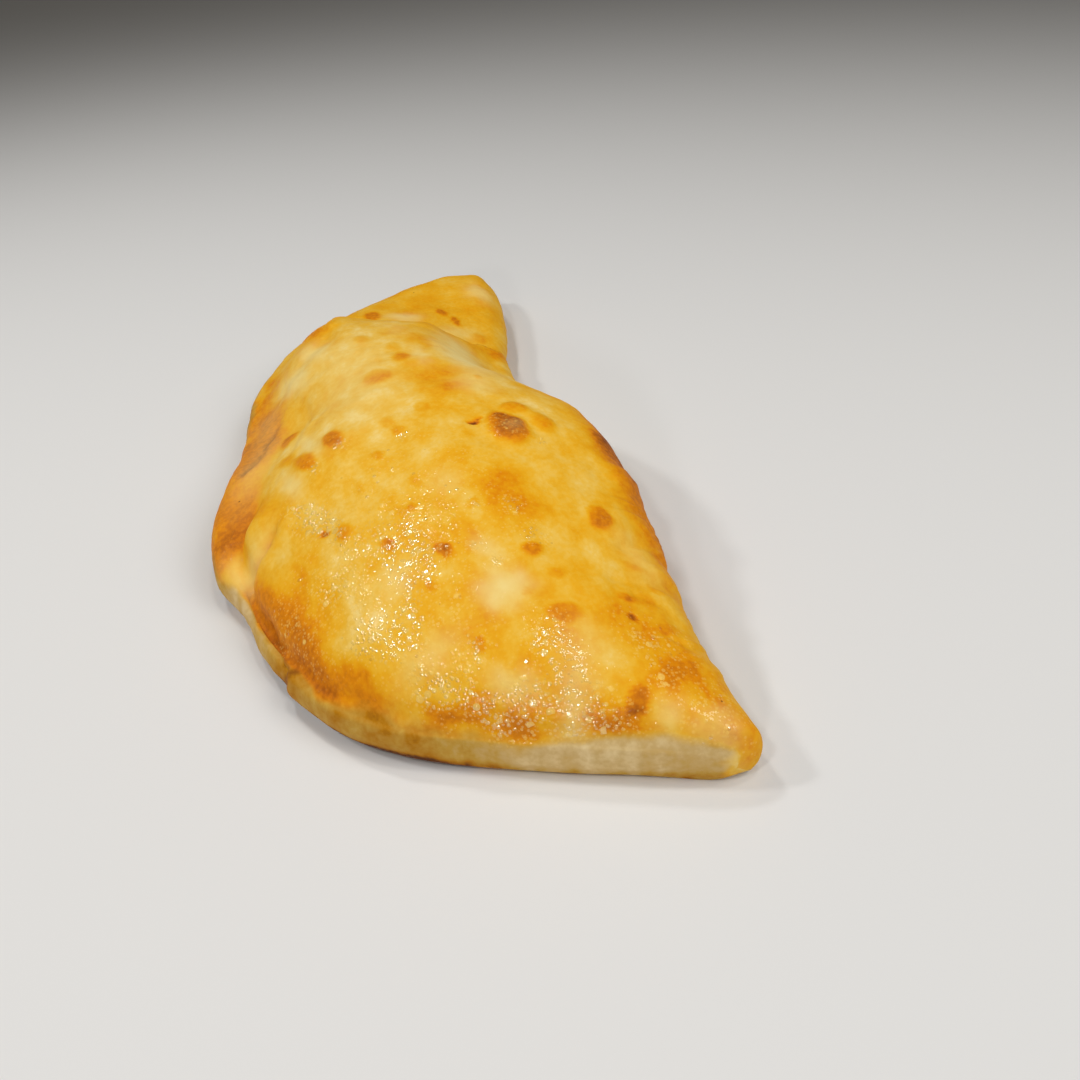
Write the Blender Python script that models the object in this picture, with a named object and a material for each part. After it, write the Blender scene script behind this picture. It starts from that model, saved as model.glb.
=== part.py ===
"""A baked calzone: one solid half-moon of folded dough, 300 mm from tip to tip.

The frame has +X along the straight fold, towards the plain corner, and -Y towards the sealed,
curved edge. The base lies flat on Z = 0 and the origin is at the middle of the base.
Lengths are in metres, but the rails below are in millimetres, as they are easier to read so.
"""
import math

import bmesh
import bpy
from mathutils import Matrix, Vector

MM = 0.001

# Driving dimensions: tip to tip, top of the dome, and how far the middle of the solid's depth
# lies from the straight fold line, towards the sealed edge
LENGTH = 300 * MM
CROWN = 46 * MM
MIDDLE = 59.25 * MM

# Fineness of the solid: rings along the length, steps from each knot of a ring to the next,
# from the fold's foot over the top to the foot of the sealed edge, and steps back underneath
RINGS = 72
STEPS = (2, 2, 2, 3, 5, 5, 5, 4, 3, 3, 4, 3, 3, 2, 2, 2)
BASE_STEPS = 10
SEGMENTS = sum(STEPS) + BASE_STEPS

# Each tip: how far in from the fold line it lies, its height, and the turn that rounds it
PLAIN_TIP = (8 * MM, 6 * MM, 0.24)
TAIL_TIP = (1 * MM, 9 * MM, 0.22)

# Rails: (distance from the plain corner, value), all in millimetres. The dough's rings follow them.
# Straight side and curved side, as distances from the fold line towards the sealed edge
FOLD_RAIL = ((0, -1), (30, 2.5), (55, 0.5), (80, -3), (110, -4.5), (145, -1), (170, 6), (195, 7),
             (220, 4), (250, -4), (280, -8), (300, -7))
EDGE_RAIL = ((0, 9), (7, 26), (17, 51), (32, 81.5), (50, 101), (80, 115), (100, 120),
             (115, 126), (140, 125.5), (160, 119), (180, 115), (200, 112), (225, 107), (245, 98), (260, 88), (275, 72),
             (288, 51), (296, 28), (300, 3))
# Height of the ridge, and of the shoulder that stands just inside the fold
CROWN_RAIL = ((0, 14), (10, 20), (30, 29), (50, 36), (80, 43), (115, 46), (150, 46), (180, 44.5),
              (205, 41), (225, 36.5), (245, 30), (265, 24), (290, 21), (300, 18))
SHOULDER_RAIL = ((0, 12), (10, 16), (30, 22), (50, 27), (80, 34), (115, 38), (145, 35),
                 (170, 29), (190, 23), (210, 20), (270, 20), (292, 19), (300, 16))
# Where the ridge runs across the dough, in hundredths of its width from the fold, and how far
# the dough between shoulder and ridge has risen at its middle, in hundredths of the way up
RIDGE_RAIL = ((0, 50), (60, 50), (120, 44), (170, 46), (205, 56), (230, 64), (250, 66), (280, 55),
              (300, 45))
SWELL_RAIL = ((0, 70), (60, 78), (160, 82), (200, 80), (220, 68), (240, 40), (270, 50), (300, 70))
# The sealed edge: its width outside the crease, its height, the height of the crease behind it,
# of the dome's foot above the crease, and how far in from the crease that foot stands
LIP_RAIL = ((0, 2), (10, 4), (32, 5), (50, 5), (75, 4.5), (98, 5), (112, 10), (125, 16), (150, 23),
            (170, 19), (190, 12), (230, 9), (265, 10), (290, 7), (300, 3))
LIP_TOP_RAIL = ((0, 11), (10, 12.5), (30, 12.5), (60, 12), (98, 12), (112, 15), (125, 19),
                (150, 23), (175, 21), (200, 17), (230, 17), (270, 17), (300, 14))
CREASE_RAIL = ((0, 12.5), (10, 14.5), (30, 15), (50, 14), (75, 12.5), (98, 12.5), (112, 15.5),
               (125, 20), (150, 26), (175, 24.5), (200, 20), (230, 19), (270, 19), (300, 15))
BROW_RAIL = ((0, 13), (10, 16.5), (30, 18.5), (50, 18.5), (75, 17.5), (98, 18), (112, 22),
             (125, 26), (150, 30), (175, 30), (200, 26), (230, 24), (270, 21), (300, 16))
GAP_RAIL = ((0, 1), (10, 2), (30, 3), (50, 3), (75, 2), (98, 2), (112, 3), (125, 5), (150, 8),
            (175, 8), (200, 6), (265, 7), (290, 4), (300, 2))


def rail(points, at):
    """The rail's value, in metres, at a distance from the plain corner, on a smooth curve."""
    at = min(max(at / MM, points[0][0]), points[-1][0])
    last = len(points) - 1
    k = next(i for i in range(last) if at <= points[i + 1][0])
    (x0, y0), (x1, y1), (x2, y2), (x3, y3) = (points[min(max(k + i, 0), last)] for i in (-1, 0, 1, 2))
    span = x2 - x1
    start = (y2 - y0) / (x2 - x0) * span
    end = (y3 - y1) / (x3 - x1) * span
    t = (at - x1) / span
    value = (y1 * (1 + 2 * t) * (1 - t) ** 2 + start * t * (1 - t) ** 2
             + y2 * t * t * (3 - 2 * t) - end * t * t * (1 - t))
    return value * MM


def knots(at):
    """The points that a ring runs through, as (distance from the fold line, height)."""
    fold = rail(FOLD_RAIL, at)
    far = rail(EDGE_RAIL, at)
    wide = far - fold
    crown = rail(CROWN_RAIL, at) * CROWN / (46 * MM)
    shoulder = rail(SHOULDER_RAIL, at)
    ridge = rail(RIDGE_RAIL, at) / (100 * MM) * wide
    swell = rail(SWELL_RAIL, at) / (100 * MM)
    lip = min(rail(LIP_RAIL, at), 0.30 * wide)
    lip_top = rail(LIP_TOP_RAIL, at)
    crease = rail(CREASE_RAIL, at)
    brow = rail(BROW_RAIL, at)
    gap = min(rail(GAP_RAIL, at), 0.15 * wide)
    foot = min(7 * MM, 0.2 * wide)
    side = min(12 * MM, 0.12 * wide)
    slope = far - lip - gap - fold - ridge
    fall = crown - brow
    return [
        (fold + foot, 0.0),
        (fold + 0.25 * foot, 0.20 * shoulder),
        (fold, 0.48 * shoulder),
        (fold + 0.22 * side, 0.76 * shoulder),
        (fold + side, shoulder),
        (fold + 0.5 * (side + ridge), shoulder + swell * (crown - shoulder)),
        (fold + ridge, crown),
        (fold + ridge + 0.35 * slope, crown - 0.14 * fall),
        (fold + ridge + 0.65 * slope, crown - 0.40 * fall),
        (fold + ridge + 0.88 * slope, crown - 0.74 * fall),
        (far - lip - gap, brow),
        (far - lip, crease),
        (far - 0.55 * lip, lip_top),
        (far - 0.16 * lip, 0.86 * lip_top),
        (far, 0.50 * lip_top),
        (far - 0.16 * foot, 0.20 * lip_top),
        (far - 0.7 * foot, 0.0),
    ]


def smooth_line(points):
    """Points on a Catmull-Rom curve through the knots, with STEPS steps to its spans."""
    ends = [points[0]] + points + [points[-1]]
    line = []
    for steps, a, b, c, d in zip(STEPS, ends, ends[1:], ends[2:], ends[3:]):
        for i in range(steps):
            t = i / steps
            line.append(tuple(
                0.5 * (2 * q + (r - p) * t + (2 * p - 5 * q + 4 * r - s) * t * t
                       + (3 * q - p - 3 * r + s) * t ** 3)
                for p, q, r, s in zip(a, b, c, d)))
    return line


def ring(turn):
    """One closed ring of the dough: over the top from the fold to the sealed edge, then the base."""
    at = LENGTH / 2 * (1 - math.cos(turn))
    outline = knots(at)
    first, last = outline[0][0], outline[-1][0]
    under = [(last + (first - last) * i / BASE_STEPS, 0.0) for i in range(BASE_STEPS)]
    inset, level, tip_turn = PLAIN_TIP if turn < math.pi / 2 else TAIL_TIP
    full = math.sin(min(min(turn, math.pi - turn) / tip_turn, 1.0) * math.pi / 2)
    points = []
    for inward, up in smooth_line(outline) + under:
        if inward < inset:
            inward += (inset - inward) * (1 - full)
        up = level + (up - level) * full
        points.append(Vector((LENGTH / 2 - at, MIDDLE - inward, up)))
    return points


def dough_mesh():
    """A sphere with its poles at the two tips, its rings moved to the rings of the dough."""
    shape = bmesh.new()
    bmesh.ops.create_uvsphere(shape, u_segments=SEGMENTS, v_segments=RINGS, radius=1.0)
    bmesh.ops.rotate(shape, verts=shape.verts, matrix=Matrix.Rotation(math.pi / 2, 3, "Y"))
    rings = [ring(math.pi * i / RINGS) for i in range(RINGS + 1)]
    for vert in shape.verts:
        row = round(math.acos(max(-1.0, min(1.0, vert.co.x))) / math.pi * RINGS)
        around = math.atan2(vert.co.z, vert.co.y) / (2 * math.pi) * SEGMENTS
        vert.co = rings[row][round(around) % SEGMENTS]
    bmesh.ops.recalc_face_normals(shape, faces=shape.faces)
    mesh = bpy.data.meshes.new("calzone")
    shape.to_mesh(mesh)
    shape.free()
    return mesh


def crust_material():
    """Glazed, golden baked dough."""
    material = bpy.data.materials.new("crust")
    material.use_nodes = True
    shader = material.node_tree.nodes["Principled BSDF"]
    shader.inputs["Base Color"].default_value = (0.78, 0.42, 0.06, 1.0)
    shader.inputs["Roughness"].default_value = 0.38
    shader.inputs["Metallic"].default_value = 0.0
    return material


def build():
    for old in list(bpy.data.objects):
        bpy.data.objects.remove(old)
    mesh = dough_mesh()
    mesh.shade_smooth()
    mesh.materials.append(crust_material())
    bpy.context.scene.collection.objects.link(bpy.data.objects.new("calzone", mesh))


build()
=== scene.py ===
"""The looks of a baked calzone: one crust with its folds, blisters, browning and glaze.

The dough is a sphere with its poles at the two corners. Its rings follow the same rails as the
solid's, and the relief and the browning are worked out on it in two plan directions: how far a
point lies from the plain corner along the fold ("at"), and how far from the fold line towards
the sealed, curved edge ("inward"). The rails and the marks are in millimetres.
"""

import math

import bmesh
import bpy
import numpy as np
from mathutils import Matrix, Quaternion, Vector, noise

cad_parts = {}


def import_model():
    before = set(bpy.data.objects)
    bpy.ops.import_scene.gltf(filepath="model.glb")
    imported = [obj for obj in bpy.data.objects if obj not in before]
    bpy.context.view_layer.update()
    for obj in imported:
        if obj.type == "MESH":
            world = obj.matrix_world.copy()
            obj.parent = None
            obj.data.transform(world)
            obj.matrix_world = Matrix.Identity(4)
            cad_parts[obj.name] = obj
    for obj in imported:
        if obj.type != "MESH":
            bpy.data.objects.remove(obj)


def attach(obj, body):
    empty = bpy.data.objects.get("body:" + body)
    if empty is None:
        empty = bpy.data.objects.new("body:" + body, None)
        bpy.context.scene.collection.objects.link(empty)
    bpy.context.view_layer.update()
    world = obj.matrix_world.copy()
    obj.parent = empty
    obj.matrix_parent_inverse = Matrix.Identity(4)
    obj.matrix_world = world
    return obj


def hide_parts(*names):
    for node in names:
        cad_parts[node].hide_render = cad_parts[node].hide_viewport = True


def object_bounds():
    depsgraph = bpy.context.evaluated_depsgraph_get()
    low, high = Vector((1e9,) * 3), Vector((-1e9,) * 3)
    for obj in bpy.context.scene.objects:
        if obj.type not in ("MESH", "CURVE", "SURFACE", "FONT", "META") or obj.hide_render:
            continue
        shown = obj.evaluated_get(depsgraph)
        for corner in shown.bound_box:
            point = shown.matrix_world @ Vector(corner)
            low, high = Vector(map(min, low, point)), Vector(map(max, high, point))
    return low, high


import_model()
cad_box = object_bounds()

MM = 0.001
LENGTH = 300.0
MIDDLE = 59.25

# Fineness: rings along the length, steps from each knot of a ring to the next, and underneath
RINGS = 440
STEPS = (6, 8, 8, 10, 20, 22, 20, 18, 14, 12, 10, 10, 10, 9, 6, 5)
BASE_STEPS = 26
SEGMENTS = sum(STEPS) + BASE_STEPS
# The share of the rings, at each corner, that lie closer together
CLOSE_RINGS = 0.08

# Each corner: how far in from the fold line it lies, its height, and the turn, in radians, that
# rounds it
PLAIN_TIP = (8, 6, 0.24)
TAIL_TIP = (1, 9, 0.22)

# Rails: (distance from the plain corner, value). Fold side and sealed side in plan
FOLD_RAIL = ((0, -1), (30, 2.5), (55, 0.5), (80, -3), (110, -4.5), (145, -1), (170, 6), (195, 7),
             (220, 4), (250, -4), (280, -8), (300, -7))
EDGE_RAIL = ((0, 9), (7, 26), (17, 51), (32, 81.5), (50, 101), (80, 115), (100, 120),
             (115, 126), (140, 125.5), (160, 119), (180, 115), (200, 112), (225, 107), (245, 98),
             (260, 88), (275, 72), (288, 51), (296, 28), (300, 3))
# Height of the ridge, and of the shoulder just inside the fold
CROWN_RAIL = ((0, 14), (10, 20), (30, 29), (50, 36), (80, 43), (115, 46), (150, 46), (180, 44.5),
              (205, 41), (225, 36.5), (245, 30), (265, 24), (290, 21), (300, 18))
SHOULDER_RAIL = ((0, 12), (10, 16), (30, 22), (50, 27), (80, 34), (115, 38), (145, 35),
                 (170, 29), (190, 23), (210, 20), (270, 20), (292, 19), (300, 16))
# The ridge's place across the dough, and the rise half-way up to it, both in hundredths
RIDGE_RAIL = ((0, 50), (60, 50), (120, 44), (170, 46), (205, 56), (230, 64), (250, 66), (280, 55),
              (300, 45))
SWELL_RAIL = ((0, 70), (60, 78), (160, 82), (200, 80), (220, 68), (240, 40), (270, 50), (300, 70))
# The sealed edge: width, height, the crease behind it, the dome's brow and its step inwards
LIP_RAIL = ((0, 2), (10, 4), (32, 5), (50, 5), (75, 4.5), (98, 5), (112, 10), (125, 16), (150, 23),
            (170, 19), (190, 12), (230, 9), (265, 10), (290, 7), (300, 3))
LIP_TOP_RAIL = ((0, 11), (10, 12.5), (30, 12.5), (60, 12), (98, 12), (112, 15), (125, 19),
                (150, 23), (175, 21), (200, 17), (230, 17), (270, 17), (300, 14))
CREASE_RAIL = ((0, 12.5), (10, 14.5), (30, 15), (50, 14), (75, 12.5), (98, 12.5), (112, 15.5),
               (125, 20), (150, 26), (175, 24.5), (200, 20), (230, 19), (270, 19), (300, 15))
BROW_RAIL = ((0, 13), (10, 16.5), (30, 18.5), (50, 18.5), (75, 17.5), (98, 18), (112, 22),
             (125, 26), (150, 30), (175, 30), (200, 26), (230, 24), (270, 21), (300, 16))
GAP_RAIL = ((0, 1), (10, 2), (30, 3), (50, 3), (75, 2), (98, 2), (112, 3), (125, 5), (150, 8),
            (175, 8), (200, 6), (265, 7), (290, 4), (300, 2))


def rail(points, at):
    """The rail's value at a distance from the plain corner, on a smooth curve."""
    at = min(max(at, points[0][0]), points[-1][0])
    last = len(points) - 1
    k = next(i for i in range(last) if at <= points[i + 1][0])
    (x0, y0), (x1, y1), (x2, y2), (x3, y3) = (points[min(max(k + i, 0), last)] for i in (-1, 0, 1, 2))
    span = x2 - x1
    start = (y2 - y0) / (x2 - x0) * span
    end = (y3 - y1) / (x3 - x1) * span
    t = (at - x1) / span
    return (y1 * (1 + 2 * t) * (1 - t) ** 2 + start * t * (1 - t) ** 2
            + y2 * t * t * (3 - 2 * t) - end * t * t * (1 - t))


def knots(at):
    """The points that a ring runs through, as (distance from the fold line, height)."""
    fold = rail(FOLD_RAIL, at)
    far = rail(EDGE_RAIL, at)
    wide = far - fold
    crown = rail(CROWN_RAIL, at)
    shoulder = rail(SHOULDER_RAIL, at)
    ridge = rail(RIDGE_RAIL, at) / 100 * wide
    swell = rail(SWELL_RAIL, at) / 100
    lip = min(rail(LIP_RAIL, at), 0.30 * wide)
    lip_top = rail(LIP_TOP_RAIL, at)
    crease = rail(CREASE_RAIL, at)
    brow = rail(BROW_RAIL, at)
    gap = min(rail(GAP_RAIL, at), 0.15 * wide)
    foot = min(7, 0.2 * wide)
    side = min(12, 0.12 * wide)
    slope = far - lip - gap - fold - ridge
    fall = crown - brow
    return [
        (fold + foot, 0.0),
        (fold + 0.25 * foot, 0.20 * shoulder),
        (fold, 0.48 * shoulder),
        (fold + 0.22 * side, 0.76 * shoulder),
        (fold + side, shoulder),
        (fold + 0.5 * (side + ridge), shoulder + swell * (crown - shoulder)),
        (fold + ridge, crown),
        (fold + ridge + 0.35 * slope, crown - 0.14 * fall),
        (fold + ridge + 0.65 * slope, crown - 0.40 * fall),
        (fold + ridge + 0.88 * slope, crown - 0.74 * fall),
        (far - lip - gap, brow),
        (far - lip, crease),
        (far - 0.55 * lip, lip_top),
        (far - 0.16 * lip, 0.86 * lip_top),
        (far, 0.50 * lip_top),
        (far - 0.16 * foot, 0.20 * lip_top),
        (far - 0.7 * foot, 0.0),
    ]


def smooth_line(points):
    """Points on a Catmull-Rom curve through the knots, with STEPS steps to its spans."""
    ends = [points[0]] + points + [points[-1]]
    line = []
    for steps, a, b, c, d in zip(STEPS, ends, ends[1:], ends[2:], ends[3:]):
        for i in range(steps):
            t = i / steps
            line.append(tuple(
                0.5 * (2 * q + (r - p) * t + (2 * p - 5 * q + 4 * r - s) * t * t
                       + (3 * q - p - 3 * r + s) * t ** 3)
                for p, q, r, s in zip(a, b, c, d)))
    return line


def station(i):
    """Where ring i lies, from the plain corner: evenly spaced, but closer at both corners."""
    part = CLOSE_RINGS / (2 - 2 * CLOSE_RINGS)
    s = i / RINGS
    if s < CLOSE_RINGS:
        return LENGTH * part * (s / CLOSE_RINGS) ** 2
    if s > 1 - CLOSE_RINGS:
        return LENGTH * (1 - part * ((1 - s) / CLOSE_RINGS) ** 2)
    return LENGTH * (part + (s - CLOSE_RINGS) * (1 - 2 * part) / (1 - 2 * CLOSE_RINGS))


def ring(at):
    """One closed ring as (at, inward, height): over the top from the fold, then underneath."""
    outline = knots(at)
    first, last = outline[0][0], outline[-1][0]
    under = [(last + (first - last) * i / BASE_STEPS, 0.0) for i in range(BASE_STEPS)]
    turn = math.acos(max(-1.0, 1 - 2 * at / LENGTH))
    inset, level, tip_turn = PLAIN_TIP if turn < math.pi / 2 else TAIL_TIP
    full = math.sin(min(min(turn, math.pi - turn) / tip_turn, 1.0) * math.pi / 2)
    points = []
    for inward, up in smooth_line(outline) + under:
        closing = 1 - full if inward < inset else max(0.0, 1 - 3 * full)
        inward += (inset - inward) * closing
        points.append((at, inward, level + (up - level) * full))
    return points


def world(at, inward, up):
    """Dough positions in millimetres as positions in metres."""
    return np.stack([LENGTH / 2 - at, MIDDLE - inward, up], axis=-1) * MM


def grid_normals(grid):
    """Outward unit normals of a grid of ring points."""
    along = np.gradient(grid, axis=0)
    around = (np.roll(grid, -1, axis=1) - np.roll(grid, 1, axis=1)) / 2
    normal = np.cross(along, around)
    return normal / np.maximum(np.linalg.norm(normal, axis=-1, keepdims=True), 1e-12)


def wobble(grid, size, seed):
    """Smooth noise, about -1 to 1, with features of a size in millimetres."""
    scale = 1 / (size * MM)
    flat = grid.reshape(-1, 3)
    shift = Vector((seed, 2.3 * seed, 4.1 * seed))
    values = [noise.noise(Vector(p) * scale + shift) for p in flat]
    return np.array(values).reshape(grid.shape[:2]) * 1.6


def step(low, high, value):
    """A smooth step from 0 at low to 1 at high."""
    t = np.clip((value - low) / (high - low), 0, 1)
    return t * t * (3 - 2 * t)


def mound(at, inward, spot, power=2.0):
    """A soft mound, 1 at the spot's middle. A spot is (at, inward, half length, half width, turn)."""
    centre_at, centre_in, half_long, half_wide, turn = spot
    c, s = math.cos(math.radians(turn)), math.sin(math.radians(turn))
    u = ((at - centre_at) * c + (inward - centre_in) * s) / half_long
    v = ((inward - centre_in) * c - (at - centre_at) * s) / half_wide
    return np.exp(-(u * u + v * v) ** (power / 2) * 0.9)


# Browned spots: (at, inward, half length, half width, turn in degrees), how brown, how raised
SPOTS = (
    ((69, 17, 4.6, 3.4, -10), 0.44, 0.5), ((42.5, 15.5, 1.8, 4.0, 0), 0.22, 0.2),
    ((36.5, 20.2, 1.3, 1.4, 0), 0.48, -0.5), ((43, 19.8, 1.3, 2, 0), 0.28, 0.2),
    ((14.5, 27.5, 2.6, 3.2, 30), 0.34, 0.5), ((39.5, 36.8, 2.8, 4.6, -10), 0.32, 0.2),
    ((50.8, 35.3, 1.8, 2.2, 0), 0.24, 0.2), ((59.3, 39.3, 2.3, 3.1, 0), 0.46, 0.6),
    ((66, 61.5, 3.3, 1.9, 30), 0.42, 0.4), ((57.3, 67, 2.0, 1.3, 35), 0.26, 0.3),
    ((75.5, 74.5, 2.6, 1.9, 20), 0.42, 0.4), ((37.5, 59.5, 2.0, 1.7, 0), 0.30, 0.3),
    ((92.4, 90.7, 2.0, 1.3, 30), 0.62, -0.5), ((87.5, 85.5, 3.8, 2.4, 20), 0.34, 0.4),
    ((114.6, 40.5, 1.3, 1.6, -30), 0.62, -1.0), ((128.7, 53.5, 3.4, 2.6, 10), 0.26, 0.3),
    ((169.7, 53.2, 4.4, 3.0, 0), 0.38, 0.3), ((157.2, 63.4, 6, 4.4, 15), 0.36, 0.4),
    ((119.6, 63, 2.3, 1.8, 10), 0.36, 0.4), ((125.4, 65.2, 3.3, 2.1, 15), 0.30, 0.2),
    ((110.6, 70.8, 2.6, 1.9, 20), 0.36, 0.4), ((93, 63.2, 3.4, 1.6, 10), 0.26, 0.2),
    ((129.4, 81.9, 5.2, 3.0, 15), 0.54, 0.8), ((126.5, 91.6, 6, 3.2, 15), 0.46, 0.7),
    ((136, 96.4, 5, 2.4, 20), 0.30, 0.3), ((154.8, 95.3, 5.2, 3.4, 0), 0.46, 0.6),
    ((144.6, 32, 2.0, 1.2, 0), 0.30, 0.4), ((77.5, 50, 2.2, 1.5, -30), 0.28, 0.3),
    ((240.7, 19.8, 5.4, 2.0, 0), 0.42, 0.4), ((250, 24, 4.0, 2.2, 10), 0.34, 0.3),
    ((247, 54.4, 6, 3.4, 0), 0.44, 0.4), ((226, 13, 4, 2.8, 0), 0.24, 0.2),
    ((194, 64, 4, 2.8, 0), 0.24, 0.2), ((46.5, 9.5, 2.6, 1.4, 60), 0.22, 0.3),
    ((53, 13, 3.4, 1.2, 70), 0.16, 0.2), ((182, 54, 3.4, 2.6, 0), 0.18, 0.2),
    ((100.6, 78, 2.6, 1.8, 20), 0.18, 0.2), ((84, 66, 1.8, 1.3, 0), 0.22, 0.3),
    ((47, 44, 1.4, 1.2, 0), 0.20, 0.2), ((33, 12, 1.8, 4.0, 10), 0.20, 0.2),
)
# The big blister and those beside it: browned and well raised
BIG_BLISTERS = (
    ((108.5, 31.3, 8.8, 5.6, 12), 0.53, 2.2), ((111, 20, 6.5, 3.2, 8), 0.34, 1.0),
    ((120.5, 26, 4.0, 4.6, 0), 0.34, 1.3),
)
# Browning of the top along its length, and wide browned stretches
TONE_RAIL = ((0, 0.42), (15, 0.40), (40, 0.34), (60, 0.28), (80, 0.28), (120, 0.26), (160, 0.23),
             (210, 0.25), (235, 0.31), (270, 0.34), (300, 0.33))
TOASTED = (
    ((6, 7, 6, 6, 0), 0.18), ((19, 17, 5, 9, 0), 0.24), ((34, 24, 6, 5, 0), 0.22),
    ((27, 14, 8, 6, 0), 0.14), ((77, 37, 12, 8, 20), 0.24), ((84.5, 41, 4.5, 6, 0), 0.22),
    ((80, 46, 8, 3, 10), 0.14), ((50, 57, 9, 5, 0), 0.18), ((40, 57, 6, 6, 0), 0.14),
    ((48, 67, 12, 4, 15), 0.16), ((24, 48, 7, 8, 60), 0.08), ((66, 4, 16, 6, 0), 0.16),
    ((43, 90, 12, 6, 47), 0.36), ((58, 101, 14, 6, 35), 0.38), ((74, 107, 14, 6, 25), 0.38),
    ((92, 113, 14, 5, 17), 0.38), ((75, 97, 14, 6, 25), 0.16), ((97, 101, 12, 5, 25), 0.10),
    ((147, 43, 15, 8, 10), 0.26), ((138, 44, 5, 6, 0), 0.18), ((97, 33, 8, 8, 0), 0.08),
    ((120.5, 118, 6, 4, 10), 0.42), ((124, 113, 5, 4, 0), 0.26), ((132, 115, 12, 8, -8), 0.28),
    ((147, 111, 10, 7, -25), 0.24), ((160, 105, 12, 6, -30), 0.30), ((178, 103, 14, 7, -15), 0.36),
    ((195, 103, 14, 6, 0), 0.32), ((118, 105, 9, 4, 20), 0.26), ((226, 80, 9, 6, 0), 0.36),
    ((190, 44, 12, 4, 0), 0.22), ((214, 10, 7, 7, 0), 0.32), ((222, 101, 20, 6, 15), 0.22),
    ((256, 25, 14, 22, 0), 0.12), ((210, 38, 20, 5, 0), 0.10),
    ((29, 74, 5, 3, 60), 0.40), ((26, 64.5, 3.5, 4.5, 62), 0.38), ((21.5, 56, 5, 3, 62), 0.40),
    ((12.5, 34, 6, 2.8, 65), 0.42),
)
PALE = (
    ((49.5, 49.5, 5.2, 6, 10), 0.90), ((62, 51, 5, 2, 20), 0.45), ((63, 75.5, 4, 4, 20), 0.50),
    ((41, 72, 4, 8, 10), 0.35), ((172, 31, 22, 7, 3), 0.95), ((195, 28, 14, 6, 3), 0.75),
    ((170, 47, 9, 3, 5), 0.60), ((205, 50, 14, 4, 0), 0.25), ((270, 2.5, 9, 5, 5), 0.60),
    ((245, 42, 5, 7, 0), 0.70), ((229, 22, 6, 8, 0), 0.35), ((193, 91, 12, 5, 20), 0.85),
    # The streak at (121, 97.5) is a painted highlight along a ridge
    ((203, 82, 12, 5, 15), 0.75), ((140, 34, 8, 6, 0), 0.40), ((121, 97.5, 8, 3, 15), 0.65),
    ((137, 89.5, 10, 2.6, 15), 0.60), ((150, 72, 22, 14, 0), 0.30), ((180, 70, 24, 12, 0), 0.30),
    ((104, 113.5, 4, 8, 40), 0.40), ((107, 118, 8, 4, 35), 0.30), ((150, 108, 18, 8, -20), 0.30),
    ((180, 103, 16, 7, -10), 0.22), ((30, 36, 7, 6, 0), 0.25),
    ((57, 11, 9, 4, 15), 0.22), ((27.5, 54, 6, 2.6, 62), 0.50), ((19, 42, 3.5, 8, 60), 0.50),
    ((4, 12, 5, 6, 0), 0.35), ((88, 55, 6, 4, 0), 0.25),
    # The mark at (108.5, 30) is a painted highlight on the big blister
    ((10.5, 21, 2.6, 4.5, 20), 0.45), ((108.5, 30, 3, 3, 0), 0.20),
)
# Wet, frothy glaze
GLAZED = (
    ((16, 39, 9, 3.5, 66), 1.0), ((26, 41, 8, 6, 0), 1.0), ((35, 43, 5, 5, 0), 0.75),
    ((24, 52, 4, 4, 0), 0.9), ((25, 60, 8, 3, 62), 1.0), ((34, 71, 8, 3.5, 58), 1.0),
    ((50, 77, 7, 6, 30), 1.0), ((54, 85, 6, 5, 40), 0.95), ((67, 70, 11, 6.5, -5), 1.0),
    ((64, 38, 3, 5, 0), 0.8), ((74.5, 40, 3, 3, 0), 0.8), ((57, 50, 3, 3, 0), 0.6),
    ((77, 50, 3, 2.5, 0), 0.6), ((64, 52, 4, 2, 20), 0.6), ((102, 94, 9, 5, 30), 1.0),
    ((93, 89, 8, 4, 20), 0.75), ((80, 78, 16, 12, 0), 0.45), ((72, 92, 14, 8, 20), 0.45),
    ((26, 18, 10, 9, 0), 0.55), ((8, 12, 8, 9, 0), 0.5), ((37, 61, 2.5, 2, 0), 0.8),
    ((46, 62, 12, 9, 0), 0.35), ((70, 103, 12, 3, 25), 0.5), ((100.8, 23.7, 1.6, 1.6, 0), 0.95),
    ((115.5, 62.5, 2.2, 1.6, 0), 0.95), ((124.5, 80.3, 3, 1.6, 0), 0.85), ((120, 89, 4, 1.6, 10), 0.9),
    ((110, 32, 6, 4, 0), 0.45), ((88, 66, 34, 24, 10), 0.22),
)
# Grooves and steps: a path, its half width, its depth, and the rise of its left and right side
CREASES = (
    (((150, 113.5), (156, 107.5), (163, 104.5), (173, 99)), 2.4, 0.5, 0.0, 0.7),
    (((151, 91), (145, 97), (137, 104.5), (127, 110), (118, 113)), 6.0, -2.2, 0.0, 0.0),
    (((194, 98), (200, 86), (218, 73)), 5.5, 1.2, 0.0, 0.0),
    (((107, 106), (103.5, 112), (101, 117), (94, 117), (83, 112.5), (74, 110), (66, 109)),
     2.2, 1.4, 0.8, 0.0),
    (((238, 63), (237, 56), (232, 46), (223, 36), (220, 27), (218, 19)),
     3.0, 0.6, -1.2, 1.4),
    (((115, 42), (116.4, 38.3)), 0.7, 0.5, 0.0, 0.0),
    (((49, 21), (47, 11), (50, 4)), 1.5, 0.5, 0.0, 0.0),
    (((44, 16), (41, 9), (42, 3)), 1.4, 0.5, 0.0, 0.0),
    (((31, 13), (28, 8), (29, 3)), 1.4, 0.5, 0.0, 0.0),
    (((60, 14), (62, 7), (60, 0)), 1.5, 0.5, 0.0, 0.0),
)
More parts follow.
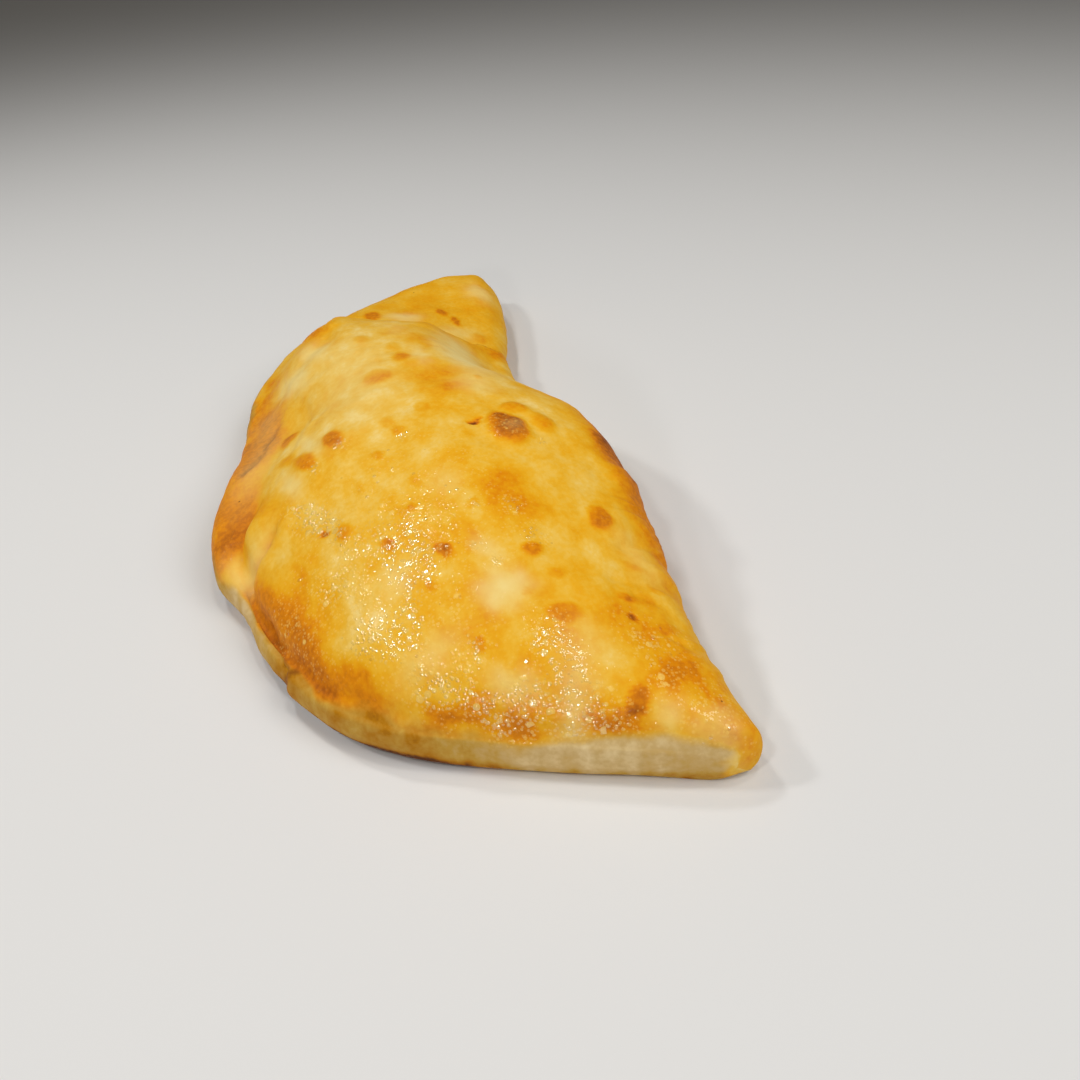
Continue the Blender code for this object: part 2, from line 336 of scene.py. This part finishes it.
# Darker lines, partly browning and partly painted shade: a path, its half width and how dark
BAKED_AND_SHADED_LINES = (
    # The big blister's rim: browning, with painted shade on its shaded side
    (((114.5, 37.5), (116, 31.5), (111, 26.4), (104, 27)), 1.8, 0.10),
    (((49, 96), (58, 102), (70, 107.5), (84, 112.5), (100, 117)), 1.5, 0.08),
    # The slit, the brow's crease and the lobe's crease: painted shade in the hollows, partly browning
    (((115, 42), (116.4, 38.3)), 0.7, 0.55),
    (((107, 106), (103.5, 112), (101, 117)), 1.6, 0.20),
    (((150, 113.5), (156, 107.5), (163, 104.5), (173, 99)), 1.5, 0.12),
    (((3.5, 17), (2.5, 13)), 0.8, 0.35), (((4.5, 21), (4, 17)), 0.6, 0.25),
)
# Broad swellings of the dough: a spot and its height
BUMPS = (
    ((90, 1, 5, 6, 0), 1.8), ((53, 3, 5, 5, 0), 1.0), ((40, 5, 4, 4, 0), 0.8),
    ((72, 40, 15, 9, 10), 0.5), ((262, 30, 20, 20, 0), 0.6), ((227, 78, 12, 7, 0), 0.8),
    ((150, 70, 26, 18, 0), 0.4), ((215, 36, 6, 5, 0), 1.0),
)
# Where the browned skin ends on the sealed side, as a ring place: 10 brow, 11 crease, 12 lip top
SKIN_EDGE = ((0, 10.6), (9, 10.3), (14, 11.6), (19, 12.4), (28, 12.1), (33, 11.7), (40, 11.0), (46, 11.6),
             (52, 12.2), (57, 11.5), (66, 12.2), (84, 12.0), (94, 12.3), (103, 12.9), (112, 13.4),
             (125, 13.6), (170, 13.6), (195, 12.9), (225, 12.6), (300, 13.5))
# How dark the bare dough below the skin is: partly its baking, and partly painted shade on the shaded
# parts of the sealed side and on the lobe's flank
BARE_BAKE_AND_SHADE_RAIL = ((0, 0.20), (12, 0.20), (20, 0.26), (24, 0.42), (29, 0.52), (33, 0.60), (40, 0.62),
                  (48, 0.64), (54, 0.52), (60, 0.78), (68, 0.78), (76, 0.50), (86, 0.38), (100, 0.26),
                  (108, 0.38), (116, 0.56), (126, 0.64), (138, 0.62), (150, 0.58), (165, 0.56),
                  (200, 0.60), (230, 0.50), (300, 0.45))
# Uneven dough: (feature size, height)
UNEVEN = ((38, 0.9), (17, 0.45), (7, 0.16), (3.2, 0.06))
WRINKLE_HEIGHT = 0.65
# How crisp the borders of marks and mounds are: 2 is the softest
TONE_BORDER = 2.4
SPOT_BORDER = 6.0
BUMP_BORDER = 2.6
SMALL_BLISTER_BORDER = 3.0
BIG_BLISTER_BORDER = 3.4
# Small spots are a little paler at their middle
SPOT_RIM = 0.15
# The darkest stretch, along the fold: browning, and painted shade where the fold side faces away
# from the light; a spot and how dark
FOLD_BROWN_AND_SHADE = ((102, -1.5, 34, 7.5, 0), 0.52)
# The thick lobe on the far part of the sealed side: where it begins and ends, and how much darker
# its flank and its lip are, partly browning and partly painted shade where the flank turns from the light
LOBE_BEGINS = (104, 114)
LOBE_ENDS = (225, 195)
LOBE_FLANK_BROWN_AND_SHADE = 0.10
LOBE_LIP_BROWN_AND_SHADE = 0.22
# The tone from which browning levels off, and how much further it can go
LEVEL_TONE = 0.62
LEVEL_RANGE = 0.22
# The least glaze anywhere on the skin
LEAST_GLAZE = 0.04


def distance_to(path, at, inward):
    """Distance from a path in plan, and which side of it a point is on (1 left, -1 right)."""
    nearest = np.full(at.shape, 1e6)
    side = np.ones(at.shape)
    for (a0, b0), (a1, b1) in zip(path, path[1:]):
        along_a, along_b = a1 - a0, b1 - b0
        t = ((at - a0) * along_a + (inward - b0) * along_b) / (along_a ** 2 + along_b ** 2)
        t = np.clip(t, 0, 1)
        off_a, off_b = at - a0 - t * along_a, inward - b0 - t * along_b
        gap = np.hypot(off_a, off_b)
        closer = gap < nearest
        nearest = np.where(closer, gap, nearest)
        side = np.where(closer, np.sign(along_a * off_b - along_b * off_a), side)
    return nearest, side


def relief(at, inward, grid):
    """Height of the surface relief in millimetres, outwards."""
    height = np.zeros(at.shape)
    for seed, (size, tall) in enumerate(UNEVEN):
        height += tall * wobble(grid, size, 5.0 + seed)
    for spot, tall in BUMPS:
        height += tall * mound(at, inward, spot, BUMP_BORDER)
    for spot, _, tall in SPOTS:
        height += tall * mound(at, inward, spot, SMALL_BLISTER_BORDER)
    for spot, _, tall in BIG_BLISTERS:
        height += tall * mound(at, inward, spot, BIG_BLISTER_BORDER)
    for path, half_width, deep, left_rise, right_rise in CREASES:
        gap, side = distance_to(path, at, inward)
        height -= deep * np.exp(-(gap / half_width) ** 2)
        near = np.exp(-(gap / (3.5 * half_width)) ** 2) * step(0, half_width, gap)
        height += np.where(side > 0, left_rise, right_rise) * near
    return height + wrinkles(at, inward, grid)


def wrinkles(at, inward, grid):
    """Thin wrinkles that run in from the fold, in millimetres."""
    stretched = np.stack([grid[..., 0] / 0.9, grid[..., 1] / 3.5, grid[..., 2] / 3.5], axis=-1)
    ridges = 1 - np.abs(wobble(stretched, 4.5, 61.0)).clip(0, 1)
    near_fold = step(16, 6, inward) * step(12, 25, at) * step(110, 70, at)
    return WRINKLE_HEIGHT * ridges ** 3 * near_fold


def room(grid, normals):
    """How far each point may rise before it leaves the frame's box, in metres."""
    low, high = (np.array(corner) for corner in cad_box)
    face = np.where(normals > 0, high, low)
    level = np.abs(normals) < 0.05
    reach = np.where(level, 1.0, (face - grid) / np.where(level, 1.0, normals))
    return reach.min(axis=-1).clip(0, None)


def shaped_dough():
    """The dough's ring points with its relief, in metres, and the browning, paleness and glaze."""
    flat = np.array([ring(station(i)) for i in range(RINGS + 1)])
    grid = world(flat[..., 0], flat[..., 1], flat[..., 2])
    at, inward, up = flat[..., 0], flat[..., 1], flat[..., 2]
    knot = np.concatenate([k + np.arange(steps) / steps for k, steps in enumerate(STEPS)])
    place = np.concatenate([knot, np.full(BASE_STEPS, 16.0)])[None, :] + 0 * at
    on_top = step(0.5, 7, up) * step(0.5, 6, at) * step(299.5, 294, at)
    shift_at = at + 0.6 * wobble(grid, 4, 51.0)
    shift_in = inward + 0.6 * wobble(grid, 4, 57.0)
    out = relief(shift_at, shift_in, grid) * on_top * MM
    normals = grid_normals(grid)
    out = np.minimum(out, room(grid, normals))
    grid = np.clip(grid + normals * out[..., None], *cad_box)
    looks = browning(shift_at, shift_in, up, place, grid)
    return grid, looks


def spread(marks, at, inward, power, rim=0.0):
    """How strongly a list of marks covers each point: 0 none, towards 1 where strong ones meet.

    A rim makes a mark weaker at its middle and stronger round its border.
    """
    bare = np.ones(at.shape)
    for mark in marks:
        cover = mound(at, inward, mark[0], power)
        bare *= 1 - mark[1] * cover * (1 + rim * (1 - 2 * cover))
    return 1 - bare


def along_rail(points, at):
    """A rail's value for every ring, as a column."""
    return np.array([rail(points, a) for a in at[:, 0]])[:, None]


def drifted(at, inward, grid):
    """The two plan directions, shifted a little by noise, which makes the marks uneven."""
    drift_at = at + 1.0 * wobble(grid, 9, 21.0) + 0.9 * wobble(grid, 4, 23.0)
    drift_in = inward + 1.0 * wobble(grid, 9, 27.0) + 0.9 * wobble(grid, 4, 29.0)
    return drift_at, drift_in


def skin_tone(at, inward, drift, place, grid, toasted, small):
    """How brown the glazed skin is, with its browned stretches, spots and baked lines, and painted shade
    along the fold, on the lobe and in the creases.
    """
    streaky = grid * np.array([0.6, 1, 1])
    mottle = 0.11 * wobble(streaky, 5, 71.0) + 0.06 * wobble(streaky, 2.4, 77.0)
    mottle *= 1 - 0.55 * step(222, 240, at)
    spots = (small + spread(BIG_BLISTERS, at, inward, SPOT_BORDER)) * (1 - 0.5 * toasted)
    # Along the fold: browning, and painted shade on the side that faces away from the light
    fold_spot, fold_tone = FOLD_BROWN_AND_SHADE
    fold_brown_and_shade = mound(*drift, fold_spot, BUMP_BORDER) * (0.4 + 0.6 * step(0.8, 2.6, place))
    # The lobe's flank and lip are made darker: partly browning, partly painted shade
    lobe = step(*LOBE_BEGINS, at) * step(*LOBE_ENDS, at)
    flank, lip = step(10.2, 11.5, place), step(11.8, 12.8, place)
    toasted = toasted + lobe * (LOBE_FLANK_BROWN_AND_SHADE * flank + LOBE_LIP_BROWN_AND_SHADE * lip)
    brown = along_rail(TONE_RAIL, at) + 0.08 * wobble(grid, 24, 33.0) + 0.10 * wobble(grid, 10, 35.0)
    brown += toasted + mottle * (1 - 1.6 * toasted - 1.8 * spots - 0.8 * fold_brown_and_shade).clip(0.15, 1)
    levelled = LEVEL_TONE + LEVEL_RANGE * (1 - np.exp((LEVEL_TONE - brown) / LEVEL_RANGE))
    brown = np.where(brown < LEVEL_TONE, brown, levelled) + spots + fold_tone * fold_brown_and_shade
    for path, half_width, tone in BAKED_AND_SHADED_LINES:
        gap, _ = distance_to(path, at, inward)
        brown += tone * np.exp(-(gap / half_width) ** 2)
    return brown


def bare_tone(at, up, grid):
    """How dark the bare dough of the sealed side is, from its baking and painted shade: streaked, and
    darker at its foot.
    """
    streaks = wobble(grid * np.array([1, 1, 0.25]), 4, 41.0)
    tone = along_rail(BARE_BAKE_AND_SHADE_RAIL, at) + 0.12 * streaks + 0.07 * wobble(grid, 3, 47.0)
    return tone + (0.25 + 0.25 * step(18, 34, at) + 0.2 * streaks) * step(5.5, 2.2, up)


def browning(at, inward, up, place, grid):
    """Browning with its painted shade, paleness with its painted highlights, glaze and bareness of every
    point, each from 0 to 1.
    """
    drift = drifted(at, inward, grid)
    toasted = spread(TOASTED, *drift, TONE_BORDER)
    small = spread(SPOTS, at, inward, SPOT_BORDER, SPOT_RIM)
    brown = skin_tone(at, inward, drift, place, grid, toasted, small)
    pale = spread(PALE, *drift, TONE_BORDER) * (1 - 1.8 * small).clip(0, 1)
    wet = np.maximum(LEAST_GLAZE, spread(GLAZED, *drift, TONE_BORDER))
    wet *= 1 - 0.35 * step(0.25, 0.5, toasted) * step(60, 45, at)
    edge = along_rail(SKIN_EDGE, at) + 0.45 * wobble(grid, 6, 43.0)
    soft = 0.45 + 0.55 * step(60, 35, at)
    wall = step(edge - soft, edge + soft, place)
    brown -= 0.10 * np.exp(-((place - edge + 0.6) / 0.5) ** 2) * step(40, 25, at)
    brown = brown * (1 - wall) + bare_tone(at, up, grid) * wall
    bare = wall * step(0.2, 1.6, at)
    return np.stack([brown, pale * (1 - wall), wet * (1 - wall), bare], axis=-1).clip(0, 1)


def crust_piece():
    """A sphere with its poles at the two corners, its rings moved to the rings of the dough."""
    grid, looks = shaped_dough()
    shape = bmesh.new()
    bmesh.ops.create_uvsphere(shape, u_segments=SEGMENTS, v_segments=RINGS, radius=1.0)
    bmesh.ops.rotate(shape, verts=shape.verts, matrix=Matrix.Rotation(math.pi / 2, 3, "Y"))
    bake = shape.verts.layers.float_color.new("bake")
    for vert in shape.verts:
        row = round(math.acos(max(-1.0, min(1.0, vert.co.x))) / math.pi * RINGS)
        point = round(math.atan2(vert.co.z, vert.co.y) / (2 * math.pi) * SEGMENTS) % SEGMENTS
        vert.co = grid[row, point]
        vert[bake] = looks[row, point]
    bmesh.ops.recalc_face_normals(shape, faces=shape.faces)
    mesh = bpy.data.meshes.new("crust")
    shape.to_mesh(mesh)
    shape.free()
    mesh.shade_smooth()
    piece = bpy.data.objects.new("crust", mesh)
    bpy.context.scene.collection.objects.link(piece)
    return piece


def colour(red, green, blue):
    """A display colour, 0 to 255, as the linear colour that a shader takes."""
    parts = [value / 255 for value in (red, green, blue)]
    return tuple(c / 12.92 if c <= 0.04045 else ((c + 0.055) / 1.055) ** 2.4 for c in parts) + (1.0,)


def node(tree, kind, inputs=None, output=0, **settings):
    """A new node's output. Inputs go by name or number, each a value or another node's output."""
    made = tree.nodes.new(kind)
    for name, value in settings.items():
        setattr(made, name, value)
    for key, value in (inputs or {}).items():
        if isinstance(value, bpy.types.NodeSocket):
            tree.links.new(value, made.inputs[key])
        else:
            made.inputs[key].default_value = value
    return made.outputs[output]


def maths(tree, operation, first, second=0.0):
    """A sum, product or other operation on two values."""
    return node(tree, "ShaderNodeMath", {0: first, 1: second}, operation=operation)


def blend(tree, amount, first, second, kind="MIX"):
    """Two colours mixed by an amount."""
    return node(tree, "ShaderNodeMix", {0: amount, 6: first, 7: second}, 2,
                data_type="RGBA", blend_type=kind)


def ranged(tree, value, low, high, to_low=0.0, to_high=1.0):
    """A value mapped smoothly from one range to another."""
    return node(tree, "ShaderNodeMapRange",
                {0: value, 1: low, 2: high, 3: to_low, 4: to_high}, interpolation_type="SMOOTHSTEP")


def grain(tree, coords, size, detail=2.0, rough=0.5):
    """Noise, 0 to 1, with features of a size in millimetres."""
    return node(tree, "ShaderNodeTexNoise",
                {"Vector": coords, "Scale": 1 / (size * MM), "Detail": detail, "Roughness": rough})


def ramp(tree, value, stops):
    """A colour ramp through (position, colour) stops."""
    made = tree.nodes.new("ShaderNodeValToRGB")
    elements = made.color_ramp.elements
    elements[0].position, elements[0].color = stops[0]
    elements[1].position, elements[1].color = stops[-1]
    for position, tint in stops[1:-1]:
        elements.new(position).color = tint
    tree.links.new(value, made.inputs[0])
    return made.outputs[0]


# The skin's colours from pale to burnt, the bare dough's, and those of its pale parts and marks
BROWNING = (
    (0.00, colour(244, 210, 124)), (0.14, colour(240, 194, 82)), (0.28, colour(238, 182, 50)),
    (0.40, colour(236, 171, 25)), (0.52, colour(233, 159, 10)), (0.64, colour(226, 138, 2)),
    (0.76, colour(202, 115, 8)), (0.88, colour(160, 84, 12)), (1.00, colour(100, 48, 14)),
)
BARE_DOUGH = (
    (0.00, colour(238, 212, 158)), (0.25, colour(214, 180, 118)), (0.50, colour(202, 158, 66)),
    (0.75, colour(186, 123, 12)), (0.90, colour(148, 86, 8)), (1.00, colour(96, 50, 14)),
)
CREAM = (colour(236, 203, 116), colour(249, 226, 152))
FROTH = colour(253, 210, 104)
SPECK = colour(96, 54, 22)


def bubbles(tree, coords, size, chance, fill):
    """Round froth bubbles in cells of a size in millimetres, as shallow domes.

    A chance of them is left out, and the biggest has a radius of fill cells.
    """
    cell = tree.nodes.new("ShaderNodeTexVoronoi")
    cell.inputs["Scale"].default_value = 1 / (size * MM)
    tree.links.new(coords, cell.inputs["Vector"])
    pick = node(tree, "ShaderNodeSeparateColor", {0: cell.outputs["Color"]})
    radius = ranged(tree, pick, chance, 1.0, 0.0, fill)
    far = cell.outputs["Distance"]
    inside = maths(tree, "SUBTRACT", maths(tree, "MULTIPLY", radius, radius),
                   maths(tree, "MULTIPLY", far, far))
    return maths(tree, "MAXIMUM", inside, 0.0)


def total(tree, *parts):
    """The sum of (height, weight) pairs."""
    result = 0.0
    for height, weight in parts:
        made = maths(tree, "MULTIPLY_ADD", height, weight)
        if isinstance(result, bpy.types.NodeSocket):
            tree.links.new(result, made.node.inputs[2])
        else:
            made.node.inputs[2].default_value = result
        result = made
    return result


def skin_colour(tree, coords, brown, pale, bare):
    """The finely mottled colour of the skin, its pale parts and the bare dough."""
    mottle = ranged(tree, grain(tree, coords, 1.6, 2.0), 0.3, 0.7, -0.05, 0.05)
    tone = maths(tree, "ADD", brown, mottle)
    cream = blend(tree, grain(tree, coords, 4), *CREAM)
    skin = blend(tree, pale, ramp(tree, tone, BROWNING), cream)
    return blend(tree, bare, skin, ramp(tree, tone, BARE_DOUGH))


def froth_layers(tree, coords, wet):
    """Heights of the large, fine and finest froth, and of the scattered drops, on the wet glaze."""
    soaked = maths(tree, "MULTIPLY_ADD", grain(tree, coords, 7), 1.2)
    tree.links.new(maths(tree, "SUBTRACT", wet, 0.6), soaked.node.inputs[2])
    foamy = ranged(tree, soaked, 0.35, 0.80)
    sparse = maths(tree, "MULTIPLY", foamy, ranged(tree, wet, 0.60, 0.85, 1.0, 0.25))
    froth = maths(tree, "MULTIPLY", bubbles(tree, coords, 2.4, 0.45, 0.5), sparse)
    fine = maths(tree, "MULTIPLY", bubbles(tree, coords, 1.05, 0.08, 0.6), foamy)
    spray = maths(tree, "MULTIPLY", bubbles(tree, coords, 0.8, 0.15, 0.6), wet)
    damp = ranged(tree, wet, 0.08, 0.20)
    drops = maths(tree, "MULTIPLY", bubbles(tree, coords, 3.0, 0.30, 0.22), damp)
    return froth, fine, spray, drops


def crust_material():
    """Baked dough: mottled browning with some painted shade, pale parts with some painted highlights,
    pale froth bubbles, dark specks and a partly wet glaze.
    """
    material = bpy.data.materials.new("crust")
    material.use_nodes = True
    tree = material.node_tree
    shader = tree.nodes["Principled BSDF"]
    coords = node(tree, "ShaderNodeTexCoord", output=3)
    bake = node(tree, "ShaderNodeAttribute", attribute_name="bake")
    brown, pale, wet = node(tree, "ShaderNodeSeparateColor", {0: bake}).node.outputs
    bare = bake.node.outputs["Alpha"]

    skin = skin_colour(tree, coords, brown, pale, bare)
    froth, fine, spray, drops = froth_layers(tree, coords, wet)
    gloss = maths(tree, "MULTIPLY", wet, 0.03)
    shine = ranged(tree, wet, 0.40, 0.75, 0.15, 1.0)
    for foam, strength in ((froth, 0.60), (fine, 0.38), (spray, 0.24)):
        cover = ranged(tree, foam, 0.0, 0.03)
        skin = blend(tree, maths(tree, "MULTIPLY", cover, strength), skin, FROTH)
        gloss = maths(tree, "MAXIMUM", gloss, maths(tree, "MULTIPLY", cover, shine))
    gloss = maths(tree, "MAXIMUM", gloss, ranged(tree, drops, 0.0, 0.01))

    speck = ranged(tree, bubbles(tree, coords, 7.0, 0.70, 0.06), 0.0, 0.001, 0.0, 0.75)
    skin = blend(tree, speck, skin, SPECK)
    tree.links.new(skin, shader.inputs["Base Color"])

    # Heights in millimetres
    height = total(tree, (froth, 1.0), (fine, 0.4), (spray, 0.25), (drops, 2.4),
                   (grain(tree, coords, 4, 2.0), 0.25))
    bump = node(tree, "ShaderNodeBump", {"Strength": 1.0, "Distance": MM, "Height": height})
    tree.links.new(bump, shader.inputs["Normal"])
    glaze = total(tree, (height, 1.0), (grain(tree, coords, 0.6, 1.0), 0.06))
    bump = node(tree, "ShaderNodeBump", {"Strength": 1.0, "Distance": MM, "Height": glaze})
    tree.links.new(bump, shader.inputs["Coat Normal"])

    tree.links.new(ranged(tree, wet, 0.0, 1.0, 0.60, 0.50), shader.inputs["Roughness"])
    tree.links.new(gloss, shader.inputs["Coat Weight"])
    shader.inputs["Coat Roughness"].default_value = 0.12
    shader.inputs["Coat IOR"].default_value = 2.2
    shader.inputs["Specular IOR Level"].default_value = 0.1
    return material


def floor():
    """A plain pale table top under the calzone."""
    shape = bmesh.new()
    bmesh.ops.create_grid(shape, x_segments=1, y_segments=1, size=3.0)
    mesh = bpy.data.meshes.new("floor")
    shape.to_mesh(mesh)
    shape.free()
    top = bpy.data.objects.new("floor", mesh)
    material = bpy.data.materials.new("floor")
    material.use_nodes = True
    shader = material.node_tree.nodes["Principled BSDF"]
    shader.inputs["Base Color"].default_value = (0.76, 0.75, 0.73, 1.0)
    shader.inputs["Roughness"].default_value = 0.8
    mesh.materials.append(material)
    bpy.context.scene.collection.objects.link(top)


def lamp(name, place, target, size, power):
    """A square soft light at a place, facing a target."""
    data = bpy.data.lights.new(name, "AREA")
    data.energy = power
    data.size = size
    light = bpy.data.objects.new(name, data)
    light.location = place
    light.rotation_euler = (Vector(target) - Vector(place)).to_track_quat("-Z", "Y").to_euler()
    bpy.context.scene.collection.objects.link(light)


# Small lamps that catch the glaze: a name, a place, the point that they face and their power
GLAZE_LAMPS = (
    ("left lamp", (-0.21, -0.60, 0.65), (0.08, 0.0, 0.02), 1.7),
    ("far lamp", (-0.39, -0.18, 0.79), (0.06, 0.0, 0.03), 1.4),
    ("middle lamp", (0.34, -0.41, 0.80), (0.10, 0.0, 0.02), 1.3),
    ("near lamp", (0.78, -0.41, 0.36), (0.12, 0.0, 0.02), 1.3),
    ("top lamp", (0.06, 0.18, 0.88), (0.12, 0.0, 0.02), 0.8),
)
GLAZE_LAMP_SIZE = 0.09
ROOM_LIGHT = (1.0, 0.94, 0.85, 1.0)
ROOM_POWER = 0.09


def studio():
    """Soft light from behind the fold, the small lamps and a faint light all round."""
    lamp("key", (0.45, 0.58, 0.78), (0, 0, 0.02), 0.6, 4.7)
    for name, place, target, power in GLAZE_LAMPS:
        lamp(name, place, target, GLAZE_LAMP_SIZE, power)
    world = bpy.data.worlds.new("studio")
    world.use_nodes = True
    background = world.node_tree.nodes["Background"]
    background.inputs[0].default_value = ROOM_LIGHT
    background.inputs[1].default_value = ROOM_POWER
    bpy.context.scene.world = world
    bpy.context.scene.view_settings.view_transform = "Standard"


# The viewpoint's place in metres, the way it faces, and its roll in degrees
EYE_PLACE = (0.26631, -0.02376, 0.18356)
EYE_FACING = (-0.7704, 0.2134, -0.6008)
EYE_ROLL = -3.66


def camera():
    """The viewpoint: close to the plain corner, looking along and down at the calzone."""
    data = bpy.data.cameras.new("camera")
    data.lens = 29.653
    data.sensor_width = 36.0
    data.shift_x = -0.0074
    data.shift_y = -0.0213
    data.clip_start = 0.01
    eye = bpy.data.objects.new("camera", data)
    facing = Vector(EYE_FACING).to_track_quat("-Z", "Y")
    eye.rotation_mode = "QUATERNION"
    eye.rotation_quaternion = facing @ Quaternion((0, 0, 1), math.radians(EYE_ROLL))
    eye.location = EYE_PLACE
    bpy.context.scene.collection.objects.link(eye)
    bpy.context.scene.camera = eye


camera()
studio()
floor()
crust = crust_piece()
crust.data.materials.append(crust_material())
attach(crust, "root")
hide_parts("calzone")
